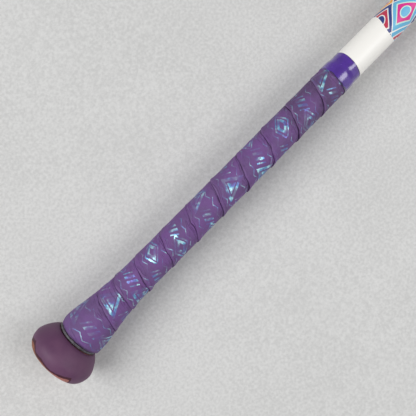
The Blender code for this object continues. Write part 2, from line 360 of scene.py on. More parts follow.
gripTape = {
    "firstTurn": 0.12,
    "pitch": 24.6 * mm,
    "firstWidths": (26.6 * mm, 14.9 * mm, 18.6 * mm, 24.0 * mm),
    "startShare": 0.75,
    "endWidth": 9 * mm,
    "lastLap": 3.2 * mm,
    "radius": 10.4 * mm,
    "flareLength": 62.0 * mm,
    "flareHeight": 3.45 * mm,
    "flareRise": 4.4 * mm,
    "stepsPerTurn": 190,
    "runPerTurn": 75.0,  # in mm, along the tape
    # How uneven each edge's line is, the gap at a seam, the face, and the height of the raised edge
    "uneven": {"Edge Wave": 2.6 * mm, "Gap Change": 0.7 * mm, "Wander": 0.5 * mm, "Crease Depth": 0.6 * mm,
               "Edge Lift": 2.4 * mm},
    # Corners of the tape's section, in mm: how far from the raised edge, or else from the next turn's edge,
    # then the height, and how many columns of faces lead to the next corner
    "section": [(0.0, None, 0.92, 1), (0.0, None, 1.42, 1), (0.07, None, 1.63, 1), (0.28, None, 1.77, 1),
                (0.8, None, 1.83, 1), (1.7, None, 1.79, 1), (2.7, None, 1.67, 1), (3.7, None, 1.54, 1),
                (5.0, None, 1.44, 2), (7.0, None, 1.37, 12), (None, -7.0, 1.35, 3), (None, -4.0, 1.35, 2),
                (None, -2.0, 1.35, 1), (None, -1.1, 1.33, 1), (None, -0.6, 1.28, 1), (None, -0.3, 1.15, 1),
                (None, -0.14, 0.9, 1), (None, 3.1, 0.78, 1), (None, 3.2, 0.0, 1), (None, 1.2, 0.0, 1),
                (None, -1.0, 0.0, 3), (4.2, None, 0.0, 1), (3.7, None, 0.87, 2)],
}


def seamTable():
    # Places of the raised edge at whole turns; the first turn lies along the ring
    turns = [0.0, 1.0, 1.0 + gripTape["startShare"]]
    places = [gripStart, gripStart, gripStart + gripTape["firstWidths"][0]]
    for width in gripTape["firstWidths"][1:]:
        turns.append(turns[-1] + 1)
        places.append(places[-1] + width)
    while places[-1] < gripEnd + gripTape["pitch"]:
        turns.append(turns[-1] + 1)
        places.append(places[-1] + gripTape["pitch"])
    return turns, places


seamTurns, seamPlaces = seamTable()
seamSlopes = np.gradient(seamPlaces[1:], seamTurns[1:])


def seam(turnCount):
    if turnCount <= 1.0:
        return gripStart
    index = min(int(np.searchsorted(seamTurns[1:], turnCount)) - 1, len(seamTurns) - 3)
    start, end = seamTurns[index + 1], seamTurns[index + 2]
    t = (turnCount - start) / (end - start)
    ends = seamPlaces[index + 1] * (1 + 2 * t) * (1 - t) ** 2 + seamPlaces[index + 2] * t ** 2 * (3 - 2 * t)
    slopes = seamSlopes[index] * t * (1 - t) ** 2 - seamSlopes[index + 1] * t ** 2 * (1 - t)
    return float(ends + (end - start) * slopes)


flareLength, flareHeight = gripTape["flareLength"], gripTape["flareHeight"]
flareCurve = np.array(bezier((0, flareHeight), (0.13 * flareLength, flareHeight + gripTape["flareRise"]),
                             (0.28 * flareLength, 0), (flareLength, 0), 60))


def makeTapeTree():
    # Bends a flat grid into the wound strip
    turnSpan = 16.0
    placeSpan = 400 * mm
    heightSpan = 6 * mm
    sectionSpan = 16 * mm
    flareSpan = 4 * flareLength
    tree, sockets, given = newRule("windTape", {
        "Float": ["First Turn", "Last Turn", "Seat Radius", "Start Share", "Last Edge", *gripTape["uneven"]],
        "Int": ["Steps Along"], "Material": ["Material"]})

    corners = gripTape["section"] + gripTape["section"][:1]
    reached = np.cumsum([0] + [corner[3] for corner in corners[:-1]])
    columns = int(reached[-1])
    grid = addNode(tree, "GeometryNodeMeshGrid", {
        "Size X": 1.0, "Size Y": 1.0, "Vertices X": given["Steps Along"], "Vertices Y": columns + 1})
    across, around, _ = splitVector(tree.nodes.new("GeometryNodeInputPosition").outputs[0])
    turn = given["First Turn"] + (across + 0.5) * (given["Last Turn"] - given["First Turn"])
    around = around + 0.5

    def placeOf(turns):
        steps = int(turnSpan * 8)
        points = [(step / steps, seam(turnSpan * step / steps) / placeSpan) for step in range(steps + 1)]
        return curveOf(turns / turnSpan, points) * placeSpan

    def section(shareOf):
        return curveOf(around, [(float(place) / columns, shareOf(corner))
                                for place, corner in zip(reached, corners)])

    def sideways(index):
        return lambda corner: 0.5 if corner[index] is None else corner[index] * mm / sectionSpan + 0.5

    fromEdge = (section(sideways(0)) - 0.5) * sectionSpan
    beforeNext = (section(sideways(1)) - 0.5) * sectionSpan
    height = section(lambda corner: corner[2] * mm / heightSpan) * heightSpan
    # Whether a corner is measured from the next turn's edge: 0 or 1
    fromNext = section(lambda corner: 0.0 if corner[1] is None else 1.0)

    def alongTape(turns, size, row):
        # Noise that changes along the tape, with another run of it in each row
        return noise(joinVector(tree, turns * gripTape["runPerTurn"] * mm, row, 0.0), size, detail=1.0)

    def wave(turns):
        # Each edge wavers a little, but the one along the ring stays straight
        return (alongTape(turns, 7 * mm, 40 * mm) - 0.5) * turns.fade(1.3, 2.0) * given["Edge Wave"]

    edge = placeOf(turn) + wave(turn)
    nextEdge = (placeOf(turn + 1.0) + wave(turn + 1.0)).math("MINIMUM", given["Last Edge"])
    gapChange = (alongTape(turn, 11 * mm, 0.0) - 0.56) * given["Gap Change"]
    place = (edge + fromEdge) * fromNext.flip() + (nextEdge + beforeNext + gapChange) * fromNext
    flareRun = [(x / flareSpan, h / heightSpan) for x, h in flareCurve[::3]] + [(1.0, 0.0)]
    flare = curveOf((place - gripStart) / flareSpan, flareRun) * heightSpan
    radius = given["Seat Radius"] + flare + height
    angle = turn * (-2 * math.pi) + (given["Start Share"] * 2 * math.pi + math.pi / 2)

    geometry = grid.outputs["Mesh"]
    for name, value in (("fromEdge", place - edge), ("beforeNext", nextEdge - place), ("turn", turn)):
        stored = addNode(tree, "GeometryNodeStoreNamedAttribute", {
            "Geometry": geometry, "Name": name, "Value": value}, data_type="FLOAT", domain="POINT")
        geometry = stored.outputs[0]
    position = joinVector(tree, place, radius * angle.math("COSINE"), radius * angle.math("SINE"))
    wound = addNode(tree, "GeometryNodeSetPosition", {"Geometry": geometry, "Position": position})
    merged = addNode(tree, "GeometryNodeMergeByDistance", {
        "Geometry": wound.outputs[0], "Distance": weldDistance})

    # The hand-pulled tape wanders a little, creases most round the flare, and its edge rises and sinks
    here = tree.nodes.new("GeometryNodeInputPosition").outputs[0]
    x, y, z = splitVector(here)
    spread = (y * y + z * z).math("SQRT")
    lowNoise = noise(here, 9 * mm, detail=1.0) - 0.5
    creases = noise(here, 3.2 * mm, stretch=(0.8, 1.6, 1.6)) - 0.5
    edgeSwell = noise(here, 13 * mm, detail=1.0) - 0.5 - y / spread * 0.10
    reach = Flow(addNode(tree, "GeometryNodeInputNamedAttribute", {"Name": "fromEdge"},
                         data_type="FLOAT").outputs["Attribute"])
    edgeSwell = edgeSwell * reach.fade(0.0, 5 * mm).flip() * given["Edge Lift"]
    creased = flareLength * 0.9
    nearKnob = ((x * -1.0 + gripStart + creased) / creased).most(0.3)
    rise = lowNoise * given["Wander"] + creases * given["Crease Depth"] * nearKnob + edgeSwell
    offset = joinVector(tree, lowNoise * given["Wander"] * 0.5, y / spread * rise, z / spread * rise)
    rough = addNode(tree, "GeometryNodeSetPosition", {"Geometry": merged.outputs[0], "Offset": offset})
    smooth = addNode(tree, "GeometryNodeSetShadeSmooth", {"Geometry": rough.outputs[0]})
    endRule(tree, smooth.outputs[0], given["Material"])
    return tree, sockets


def makeGripMaterial():
    material, shader, place = newMaterial("gripTape")
    tree = material.node_tree
    look = {
        "purple": linear(114, 77, 140),
        "dusty": linear(105, 77, 128),
        "handled": linear(90, 66, 106),
        # edge: the dark of the painted shade in the seams, in the corner at the ring and in the folds, and of
        # the seam grime
        "edge": linear(34, 18, 46),
        "worn": linear(132, 102, 153),
        "foil": [(0.36, linear(112, 116, 182)), (0.48, linear(116, 174, 214)), (0.60, linear(186, 236, 246))],
        "handledFrom": gripEnd - 75 * mm,
        "handledTo": gripEnd - 25 * mm,
        # Sizes of the foil print, in mm. Lines: how far from the figure's middle, and half their width.
        "cellLength": 31.0,
        "rowShift": 2.2,
        "figureShift": 7.0,
        "triangle": [(0.0, 2.2), (4.2, 1.0)],
        "diamond": [(5.8, 0.6), (3.1, 1.05)],
        "barShift": 7.5,
        "barPitch": 3.6,
        "barReach": (5.4, 3.4),
        "zigPitch": 7.5,
        "zigLine": (6.6, 0.3),
        "lineSoftness": 0.12,
    }
    fromEdge, beforeNext, turn = [attributeOf(tree, name) for name in ("fromEdge", "beforeNext", "turn")]
    patches = noise(place, 14 * mm, detail=3.0)
    colour = patches.fade(0.35, 0.65).mix(look["purple"], look["dusty"])
    # The last turns, where the hand holds, are dull and darker
    x, y, _ = splitVector(place)
    handled = x.fade(look["handledFrom"], look["handledTo"])
    colour = (handled * (patches.fade(0.3, 0.6) * 0.5 + 0.3)).mix(colour, look["handled"])

    # Foil print, in millimetres along and across the tape. Its edges are rubbed away unevenly.
    along = turn * gripTape["runPerTurn"]
    across = (fromEdge - beforeNext) / (2 * mm)
    rub = (noise(place, 1.3 * mm, detail=3.0, roughness=0.65) - 0.5) * 1.1

    def line(distance, middle, width):
        soft = look["lineSoftness"]
        return ((distance - middle).size() + rub).fade(width + soft, width - soft)

    def nested(distance, lines):
        return line(distance, *lines[0]).most(line(distance, *lines[1]))

    number = (along / look["cellLength"]).floor()
    thinCell = number % 2.0
    boldCell = thinCell.flip()
    u = along % look["cellLength"] - look["cellLength"] / 2
    v = across + ((number % 3.0) - 1.0) * look["rowShift"]

    # A nested triangle in every other cell, thin diamonds in the rest, and slanted bars in both
    sideways = (u + look["figureShift"]).size()
    triangle = nested((sideways * 0.866 + v * 0.5).most(v * -1.0), look["triangle"])
    diamonds = nested(sideways * 0.62 + v.size(), look["diamond"])
    slant = u - look["barShift"] + v * 0.55
    bars = (((slant % look["barPitch"]) - look["barPitch"] / 2).size() + rub).fade(1.05, 0.8)
    bars = bars * slant.size().under(look["barReach"][0]) * v.size().under(look["barReach"][1])
    zigPlace, zigWidth = look["zigLine"]
    zigPlace = ((u % look["zigPitch"]) - look["zigPitch"] / 2).size() * 0.6 + zigPlace
    zigzag = line(v, zigPlace, zigWidth).most(line(v * -1.0, zigPlace, zigWidth))
    fading = noise(place, 6.5 * mm).fade(0.43, 0.58)
    foil = (triangle * boldCell).most(bars * (boldCell * 0.3 + 0.7)).most(diamonds * thinCell)
    # The foil is painted fainter towards +Y, as painted shade on the flank where it catches no light
    foil = foil.most(zigzag * 0.6) * (fading * 0.85 + 0.15) * (y.fade(12 * mm, 3 * mm) * 0.6 + 0.4)
    foil = foil * fromEdge.fade(0.2 * mm, 0.7 * mm) * beforeNext.fade(0.4 * mm, 0.8 * mm)
    hue = noise(place, 5 * mm, detail=1.0)
    colour = foil.mix(colour, ramp(tree, hue, look["foil"]))

    # A paler worn edge, and grime in the seam that comes and goes, with painted shade there too
    worn = fromEdge.fade(0.1 * mm, 0.5 * mm) * fromEdge.fade(0.8 * mm, 2.0 * mm).flip()
    colour = (worn * patches.fade(0.35, 0.6) * 0.5).mix(colour, look["worn"])
    grimeAndShade = noise(place, 8 * mm).fade(0.38, 0.6)
    seamLine = fromEdge.fade(0.0, 0.12 * mm).flip().most(beforeNext.fade(0.15 * mm, 0.45 * mm).flip())
    colour = (seamLine * grimeAndShade * 0.8).mix(colour, look["edge"])
    # Painted shade in the corner at the ring, most of it on the side of -Y
    corner = x.fade(gripStart + 0.3 * mm, gripStart + 2.0 * mm).flip() * grimeAndShade.most(y.fade(4 * mm, -6 * mm))
    colour = (corner * 0.75).mix(colour, look["edge"])

    # Thin folds run along the pulled tape, most of them near a seam; they bump the surface and darken its
    # colour as painted shade
    folds = noise(joinVector(tree, along * 0.07, across * 0.36, 0.0), 1.0, detail=1.5, roughness=0.45)
    folds = ((folds - 0.5).size() * -16.0 + 1.0).most(0.0)
    nearSeam = beforeNext.fade(0.5 * mm, 9 * mm).flip().most(fromEdge.fade(0.5 * mm, 6 * mm).flip())
    folds = folds * (nearSeam * 0.85 + 0.12) * (grimeAndShade * 0.6 + 0.4)
    mottle = noise(place, 2.2 * mm, detail=3.0, roughness=0.65)
    colour = (folds * 0.25).mix(colour, look["edge"])
    colour = (mottle.fade(0.45, 0.75) * 0.22).mix(colour, look["worn"])

    paint(shader, {"Base Color": colour, "Metallic": foil * 0.95, "Specular IOR Level": 0.35,
                   "Roughness": foil * -0.2 + patches * 0.12 + 0.54})
    grain = noise(place, 0.45 * mm, detail=3.0, roughness=0.6)
    bump(shader, grain * 0.2 + mottle * 0.8 - folds * 1.3 + foil * 0.1, 0.3 * mm)
    return material


def makeGripTape():
    tree, sockets = makeTapeTree()
    lastTurn = gripTape["firstTurn"]
    while seam(lastTurn) < gripEnd - gripTape["endWidth"]:
        lastTurn += 0.01
    turns = lastTurn - gripTape["firstTurn"]
    values = {"First Turn": gripTape["firstTurn"], "Last Turn": lastTurn,
              "Steps Along": int(turns * gripTape["stepsPerTurn"]), "Seat Radius": gripTape["radius"],
              "Start Share": gripTape["startShare"], "Last Edge": gripEnd - gripTape["lastLap"],
              **gripTape["uneven"], "Material": makeGripMaterial()}
    mesh = grow(tree, sockets, values)
    shape = bmesh.new()
    shape.from_mesh(mesh)
    bmesh.ops.holes_fill(shape, edges=[edge for edge in shape.edges if edge.is_boundary], sides=0)
    bmesh.ops.recalc_face_normals(shape, faces=shape.faces)
    shape.to_mesh(mesh)
    shape.free()
    mesh.name = "gripTape"
    piece = addMesh("gripTape", mesh, values["Material"])
    settle(piece, "grip_tape", "grip_wrap")
    return turns


print(f"grip tape: {makeGripTape():.2f} turns")


# Knob

knob = {
    "length": 20.9 * mm,
    "radius": 23.9 * mm,
    "rimDepth": 8.2 * mm,
    "rimWidth": 4.3 * mm,
    "fullness": 1.8,
    "shoulder": (0.29, 0.93, 0.38),
    "neckRadius": 15.2 * mm,
    "skin": 0.45 * mm,
    "skinEdge": 20.3 * mm,
    "edgeRipple": 0.12 * mm,
    "coreSetback": 1.2 * mm,
    "bareDepth": 0.1 * mm,
    "underGap": 0.05 * mm,
    "floor": 5.0 * mm,
    "sides": 240,
    "skinShades": (linear(93, 54, 88), linear(102, 63, 95)),
    "scuff": linear(70, 40, 62),
    "darkEdge": linear(64, 6, 34),
    "coreShades": (linear(186, 120, 112), linear(146, 88, 60)),
    "coreStain": linear(120, 70, 60),
    # Where the skin's edge is worn back: the corners of each place, with the angle from +Y to +Z
    # and the reach in mm
    "wear": [[(10, 0), (18, 3.1), (26, 4.6), (34, 5.2), (44, 4.7), (52, 3.2), (60, 2.0), (75, 1.8), (92, 1.8),
              (102, 2.1), (114, 3.1), (124, 4.4), (130, 4.7), (133, 3.9), (136, 0.5), (140, 0)],
             [(205, 0), (214, 2.2), (226, 0.8), (233, 0)],
             [(284, 0), (291, 1.6), (305, 2.4), (312, 0)]],
}


def knobOutline():
    power = 2 / knob["fullness"]
    rimDepth, radius, neckRadius = knob["rimDepth"], knob["radius"], knob["neckRadius"]
    rim = []
    for degrees in np.linspace(0, 90, 40)[:-1]:
        angle = math.radians(degrees)
        rim.append((rimDepth * (1 - abs(math.cos(angle)) ** power),
                    radius - knob["rimWidth"] * (1 - math.sin(angle) ** power)))
    shoulder = knob["length"] - rimDepth
    liftShare, settleShare, dropShare = knob["shoulder"]
    lift = (rimDepth + liftShare * shoulder, radius)
    settled = (rimDepth + settleShare * shoulder, neckRadius + dropShare * (radius - neckRadius))
    return rim + bezier((rimDepth, radius), lift, settled, (knob["length"], neckRadius), 40)


def evenly(run, count):
    # The same line with points at equal steps along it
    points = np.array(run)
    travel = np.concatenate([[0], np.cumsum(np.linalg.norm(np.diff(points, axis=0), axis=1))])
    even = np.linspace(0, travel[-1], count)
    return np.column_stack([np.interp(even, travel, points[:, axis]) for axis in (0, 1)]), travel[-1]


def makeKnobMaterials():
    material, shader, place = newMaterial("knobSkin")
    x, _, _ = splitVector(place)
    patches = noise(place, 9 * mm, detail=3.0)
    colour = patches.fade(0.3, 0.7).mix(*knob["skinShades"])
    specks = noise(place, 0.9 * mm, roughness=0.7)
    nearRim = x.fade(4 * mm, 9 * mm).flip()
    scuffs = specks.fade(0.66, 0.74) * (nearRim * 0.8 + 0.1)
    colour = (scuffs * 0.5).mix(colour, knob["scuff"])
    # A ragged dark band along the skin's worn edge
    ragged = (noise(place, 4 * mm) - 0.5) * 3.0 * mm
    darkEdgeBand = (attributeOf(material.node_tree, "fromWornEdge") + ragged).fade(1.5 * mm, 2.3 * mm).flip()
    colour = darkEdgeBand.mix(colour, knob["darkEdge"])
    paint(shader, {"Base Color": colour, "Roughness": patches * 0.15 + 0.5})
    grain = noise(place, 0.5 * mm)
    waves = noise(place, 5 * mm, detail=1.0)
    bump(shader, grain * 0.15 + waves, 0.12 * mm)

    core, shader, place = newMaterial("knobCore")
    _, y, _ = splitVector(place)
    patches = noise(place, 3 * mm, detail=4.0)
    colour = y.fade(-4 * mm, 10 * mm).mix(*knob["coreShades"])
    colour = (patches.fade(0.35, 0.7) * 0.5).mix(colour, knob["coreStain"])
    paint(shader, {"Base Color": colour, "Roughness": 0.6})
    bump(shader, patches, 0.3 * mm)
    return material, core


def makeKnob():
    skinMaterial, coreMaterial = makeKnobMaterials()
    outer, length = evenly(knobOutline(), 400)
    inner = inset(outer, knob["skin"])
    travel = np.linspace(0, length, len(outer))
    edgePlace = float(np.interp(knob["skinEdge"], outer[:80, 1], travel[:80]))
    rng = np.random.default_rng(7)
    ragged = rng.normal(0, 1, (2, 12))

    def at(run, place):
        return np.interp(place, travel, run[:, 0]), np.interp(place, travel, run[:, 1])

    def skinStart(angle):
        degrees = math.degrees(angle)
        reach = mm * sum(float(np.interp(degrees, *zip(*worn))) for worn in knob["wear"])
        ripple = sum(size * math.cos((k + 5) * angle + 7 * phase) for k, (size, phase) in enumerate(ragged.T))
        return edgePlace + reach + knob["edgeRipple"] * ripple, reach

    def skinProfile(angle):
        start, reach = skinStart(angle)
        sound = max(3.2 * mm - 1.6 * reach, 0.0)  # no dark edge where the skin isn't worn
        stations = start + (length - start) * np.linspace(0, 1, 90) ** 1.3  # closest at the edge
        face = [(*at(outer, place), place - start + sound) for place in stations]
        return face + [(*at(inner, place), place - start + sound) for place in stations[::-1]]

    skin = shaped("knobSkin", skinProfile, skinMaterial, knob["sides"], attribute="fromWornEdge")
    settle(skin, "knob_skin", "knob_cover")

    # The core stands nearly level with the skin where it is bare, and steps down under it
    neckFace = knob["length"] - knob["coreSetback"]
    neckPlace = float(np.interp(neckFace, outer[:, 0], travel)) - 0.3 * mm
    hole = seatRadius + glueGap
    flat = knob["radius"] - knob["rimWidth"]
    bare = inset(outer, knob["bareDepth"])
    under = inset(outer, knob["skin"] + knob["underGap"])

    def coreProfile(angle):
        start = skinStart(angle)[0]
        profile = [(0.0, flat * share) for share in (0.0, 0.4, 0.7, 0.9)]
        profile += [at(bare, place) for place in np.linspace(0, start - 0.35 * mm, 40)]
        profile += [at(under, place) for place in np.linspace(start - 0.08 * mm, neckPlace, 60)]
        return profile + [(neckFace, hole), (knob["floor"], hole), (knob["floor"], 0.0)]

    settle(shaped("knobCore", coreProfile, coreMaterial, knob["sides"]), "knob_core", "knob_core")


makeKnob()


# Ring between the knob and the grip

ring = {
    "rounding": 0.95 * mm,
    "shades": (linear(64, 61, 67), linear(98, 94, 101)),
    "patches": (2.5 * mm, 3.0),
    "spread": (0.4, 0.7),
    "roughness": 0.32,
    "unevenness": 0.2,
    "grain": (0.4 * mm, 2.0),
    "grainDepth": 0.05 * mm,
}


def makeRing():
    start, end = spanOf("knob_ring")
    rounding, hole = ring["rounding"], seatRadius + glueGap
    level = knob["neckRadius"] - rounding
    profile = [(start, hole)]
    for centre, startAngle in ((start + rounding, 180), (end - rounding, 90)):
        for step in range(9):
            angle = math.radians(startAngle - 90 * step / 8)
            profile.append((centre + rounding * math.cos(angle), level + rounding * math.sin(angle)))
    profile.append((end, hole))
    settle(turned("knobRing", profile, makeRubber("ringRubber", ring)), "ring_rubber", "knob_ring")


makeRing()


# Band of vinyl tape over the end of the grip

band = {
    "rise": 12.05 * mm,
    "barrelEnd": 11.42 * mm,
    "overlap": 2.2 * mm,
    "rows": 60,
    # Its underside: a thin wall over the grip, a foot past the tape's lap, and a gap to the lacquer
    "wall": 0.2 * mm,
    "foot": 10.9 * mm,
    "footLength": 3.6 * mm,
    "lacquerGap": 0.08 * mm,
    # Its fall, past the end of the grip under it
    "fallStart": 0.8 * mm,
    "fallLength": 5.5 * mm,
    # How its edges waver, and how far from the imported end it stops, as a mean and a swing
    "edgeWaves": (0.5 * mm, 0.25 * mm),
    "endShort": (0.9 * mm, 0.5 * mm),
    "ripple": 0.03 * mm,
    # The edge over the grip stands up on one side
    "lip": 0.5 * mm,
    "lipRun": 1.2 * mm,
    "lipAngle": math.radians(138),
    "lipSpread": 0.6,
    # Dents and swellings: share of the width, angle from +Y to +Z, size and height in mm
    "dents": [(0.24, 99, 3.4, -0.12), (0.90, 103, 2.0, 0.14), (0.62, 60, 2.6, -0.20),
              (0.72, 120, 2.2, -0.18), (0.25, 52, 3.0, -0.18), (0.55, 150, 3.2, 0.22),
              (0.30, 205, 3.0, -0.25), (0.70, 250, 3.4, 0.25), (0.4, 320, 3.0, -0.22)],
    "shades": (linear(66, 18, 137), linear(75, 26, 151)),
    # The dark of the painted shade along its edges
    "paintedEdgeShade": linear(34, 14, 58),
}


def makeBand():
    material, shader, place = newMaterial("bandVinyl")
    patches = noise(place, 6 * mm)
    colour = patches.fade(0.3, 0.7).mix(*band["shades"])
    # Painted shade along both edges, uneven and widest on the side of -Y
    _, y, _ = splitVector(place)
    edgeShadeWidth = noise(place, 3 * mm, detail=1.0).fade(0.3, 0.7) * 0.7 * mm + y * -0.06
    paintedEdgeShade = (attributeOf(material.node_tree, "fromBandEdge") - edgeShadeWidth).fade(0.0, 0.4 * mm).flip()
    colour = (paintedEdgeShade * 0.8).mix(colour, band["paintedEdgeShade"])
    paint(shader, {"Base Color": colour, "Roughness": patches * 0.14 + 0.18, "Specular IOR Level": 0.6,
                   "Coat Weight": 0.8, "Coat Roughness": 0.16})
    wrinkles = noise(place, 6 * mm, detail=1.5, stretch=(0.8, 1.3, 1.3))
    bump(shader, wrinkles, 0.2 * mm)
    rng = np.random.default_rng(3)
    phases = rng.uniform(0, 2 * math.pi, (3, 8))

    def edgeWave(angle, edge):
        swing = sum(math.sin((k + 1) * angle + phases[edge][k]) / (k + 1) for k in range(6))
        return band["edgeWaves"][edge] * swing

    def bandProfile(angle):
        start = bandStart - band["overlap"] + edgeWave(angle, 0)
        short, shortSwing = band["endShort"]
        end = bandEnd - (short - shortSwing * math.cos(angle)) + edgeWave(angle, 1)
        column = []
        for x in np.linspace(start, end, band["rows"]):
            fall = eased((x - gripEnd - band["fallStart"]) / band["fallLength"])
            radius = band["rise"] + (band["barrelEnd"] - band["rise"]) * fall
            lipAway = ((angle - band["lipAngle"]) / band["lipSpread"]) ** 2
            radius += band["lip"] * math.exp(-lipAway - (x - start) / band["lipRun"])
            for share, degrees, size, height in band["dents"]:
                turnAway = (angle - math.radians(degrees) + math.pi) % (2 * math.pi) - math.pi
                away = math.hypot(x - start - share * (end - start), turnAway * radius) / (size * mm)
                radius += height * mm * math.exp(-away ** 2)
            wave = sum(math.sin(k * angle + 260 * x * (1 + k % 3) + phases[2][k]) for k in range(3, 8)) / 5
            column.append((x, radius + band["ripple"] * wave, min(x - start, 1.6 * (end - x))))
        inner = []
        for x, radius, toEdge in column:
            under = radius - band["wall"]
            if x > gripEnd - band["footLength"]:
                under = band["foot"]
            if x > lacquerStart - 0.3 * mm:
                under = handleRadius + band["lacquerGap"]
            inner.append((x, under, toEdge))
        return column + inner[::-1]

    piece = shaped("finishingBand", bandProfile, material, 200, attribute="fromBandEdge")
    settle(piece, "band_vinyl", "finishing_tape")


makeBand()


# Lacquer and its print, shared by handle and barrel

lacquer = {
    "white": linear(253, 251, 246),
    "dust": linear(150, 146, 142),
    "printStart": 322 * mm,
    "printWave": 2 * mm,
    "softEdge": 0.2 * mm,
    "around": 3,
    "squash": 0.7,
    "sway": 0.16,
    "pick": 2.0,
    # Within a cell, which reaches 0.5 from its middle: the inner diamond and the dot, each with half
    # the width of its outline, and where the white between cells starts
    "diamond": (0.33, 0.022),
    "dot": (0.19, 0.02),
    "whiteFrom": 0.478,
    "shades": [(226, 44, 146), (88, 98, 150), (250, 170, 42), (196, 52, 82), (108, 188, 228), (46, 62, 132)],
    "lines": [(247, 244, 241), (206, 244, 228)],
}


def makeLacquer(name):
    material, shader, place = newMaterial(name)
    tree = material.node_tree
    x, y, z = splitVector(place)
    turnShare = z.math("ARCTAN2", y) / (2 * math.pi)

    # Steps along the bat grow with its radius, so the print keeps its proportions
    printStart, around = lacquer["printStart"], lacquer["around"]
    stations = np.linspace(printStart, batEnd, 65)
    paces = [(end - start) / batRadius((start + end) / 2) for start, end in zip(stations, stations[1:])]
    steps = np.concatenate([[0], np.cumsum(paces)])
    span = batEnd - printStart
    points = [((station - stations[0]) / span, step / steps[-1]) for station, step in zip(stations, steps)]
    along = curveOf((x - printStart) / span, points) * float(steps[-1] / (2 * math.pi))
    a = turnShare * around
    b = along * around * lacquer["squash"]
    sway = (b * math.pi).math("SINE") * lacquer["sway"]
    c = a + b + sway
    d = a - b + sway
    cellC = c.floor()
    cellD = d.floor()
    fromC = (c - cellC - 0.5).size()
    fromD = (d - cellD - 0.5).size()
    rim = fromC.most(fromD)
    middle = (fromC * fromC + fromD * fromD).math("SQRT")
    key = joinVector(tree, cellC - cellD, (cellC + cellD) % (2.0 * around), lacquer["pick"])

    def pickOf(vector):
        return addNode(tree, "ShaderNodeTexWhiteNoise", {"Vector": vector}, noise_dimensions="3D").outputs

    def shadeOf(value, shades):
        stops = [(index / len(shades), linear(*shade)) for index, shade in enumerate(shades)]
        return ramp(tree, value, stops, "CONSTANT")

    picked = pickOf(key)
    second = pickOf(picked["Color"])
    outerShade = shadeOf(picked["Value"], lacquer["shades"])
    innerShade = shadeOf(second["Value"], lacquer["shades"][3:] + lacquer["shades"][:3])
    lineShade = shadeOf(second["Value"], lacquer["lines"])
    colour = outerShade
    for distance, (reach, halfLine), shade in ((rim, lacquer["diamond"], innerShade),
                                               (middle, lacquer["dot"], outerShade)):
        colour = distance.under(reach).mix(colour, shade)
        colour = (distance - reach).size().under(halfLine).mix(colour, lineShade)
    colour = rim.math("GREATER_THAN", lacquer["whiteFrom"]).mix(colour, lacquer["white"])
    wave = (turnShare * (4 * math.pi) + 1.0).math("SINE") * lacquer["printWave"]
    printed = (x - wave).fade(printStart, printStart + lacquer["softEdge"])
    colour = printed.mix(lacquer["white"], colour)

    dust = noise(place, 1.2 * mm, detail=4.0, roughness=0.75)
    clouds = noise(place, 18 * mm)
    colour = (dust.fade(0.68, 0.8) * 0.35).mix(colour, lacquer["dust"])
    paint(shader, {"Base Color": colour, "Roughness": clouds * 0.1 + dust * 0.08 + 0.34,
                   "Coat Weight": 0.15, "Coat Roughness": 0.3})
    bump(shader, noise(place, 1.5 * mm) * 0.5 + clouds, 0.03 * mm)
    return material


# Handle, barrel, collar and cap

handle = {
    "wall": 2.2 * mm,
    "chamfer": 0.8 * mm,
    "bandSeat": 10.6 * mm,
    "lacquerRamp": 0.4 * mm,
}


def jointRadius(x):
    # The handle under the collar and the barrel: nearly straight to the throat, then flared
    inside = barrelWall + glueGap + linerWall + glueGap
    if x > throat:
        return batRadius(x) - inside
    share = (x - taperStart) / (throat - taperStart)
    return handleRadius + (batRadius(throat) - inside - handleRadius) * share


cap = {
    "face": 8 * mm,
    "plate": 4.5 * mm,
    "rounding": 5 * mm,
    "dishRadius": 14 * mm,
    "dishDepth": 2.5 * mm,
    "skirtLength": 22 * mm,
    "skirtWall": 2.5 * mm,
    "latchHeight": 0.7 * mm,
    "latchWidth": 4 * mm,
    "latchSetback": 13 * mm,
    "latchPlay": 0.6 * mm,
    "leadIn": 1.2 * mm,
    "hubRadius": 6 * mm,
    "ribs": 8,
    "ribDepth": 8 * mm,
    "ribThickness": 1.8 * mm,
    "ribSunk": 0.4 * mm,
    "shades": (linear(34, 34, 36), linear(58, 58, 60)),
    "patches": (7 * mm, 4.0),
    "spread": (0.4, 0.75),
    "roughness": 0.4,
    "unevenness": 0.2,
    "grain": (0.7 * mm, 3.0, 0.6),
    "grainDepth": 0.12 * mm,
}
capSkirtStart = batEnd - cap["face"] - cap["skirtLength"]


def latchRidge(radius, width):
    # The ridge on the cap's skirt that snaps into a groove in the barrel
    middle = capSkirtStart + cap["latchSetback"]
    top = radius + cap["latchHeight"]
    return [(middle - width / 2, radius), (middle - width / 6, top), (middle + width / 6, top),
            (middle + width / 2, radius)]


def makeHandle():
    wall, chamfer, bandSeat = handle["wall"], handle["chamfer"], handle["bandSeat"]
    start, stepPlace = knob["floor"] + glueGap, gripEnd + glueGap
    outer = [(start, seatRadius - chamfer), (start + chamfer, seatRadius), (stepPlace, seatRadius),
             (stepPlace, bandSeat), (lacquerStart, bandSeat),
             (lacquerStart + handle["lacquerRamp"], handleRadius)]
    outer += [(x, handleRadius) for x in np.linspace(bandEnd, taperStart, 20)]
    flared = [(x, jointRadius(x)) for x in np.linspace(taperStart, handleEnd, 50)[1:]]
    inner = [(start, seatRadius - wall), (bandEnd, seatRadius - wall), (taperStart, handleRadius - wall)]
    inner += [(x, radius - wall) for x, radius in flared]
    piece = turned("handleTube", outer + flared + inner[::-1], makeLacquer("handleLacquer"))
    settle(piece, "handle_lacquer", "handle_tube")


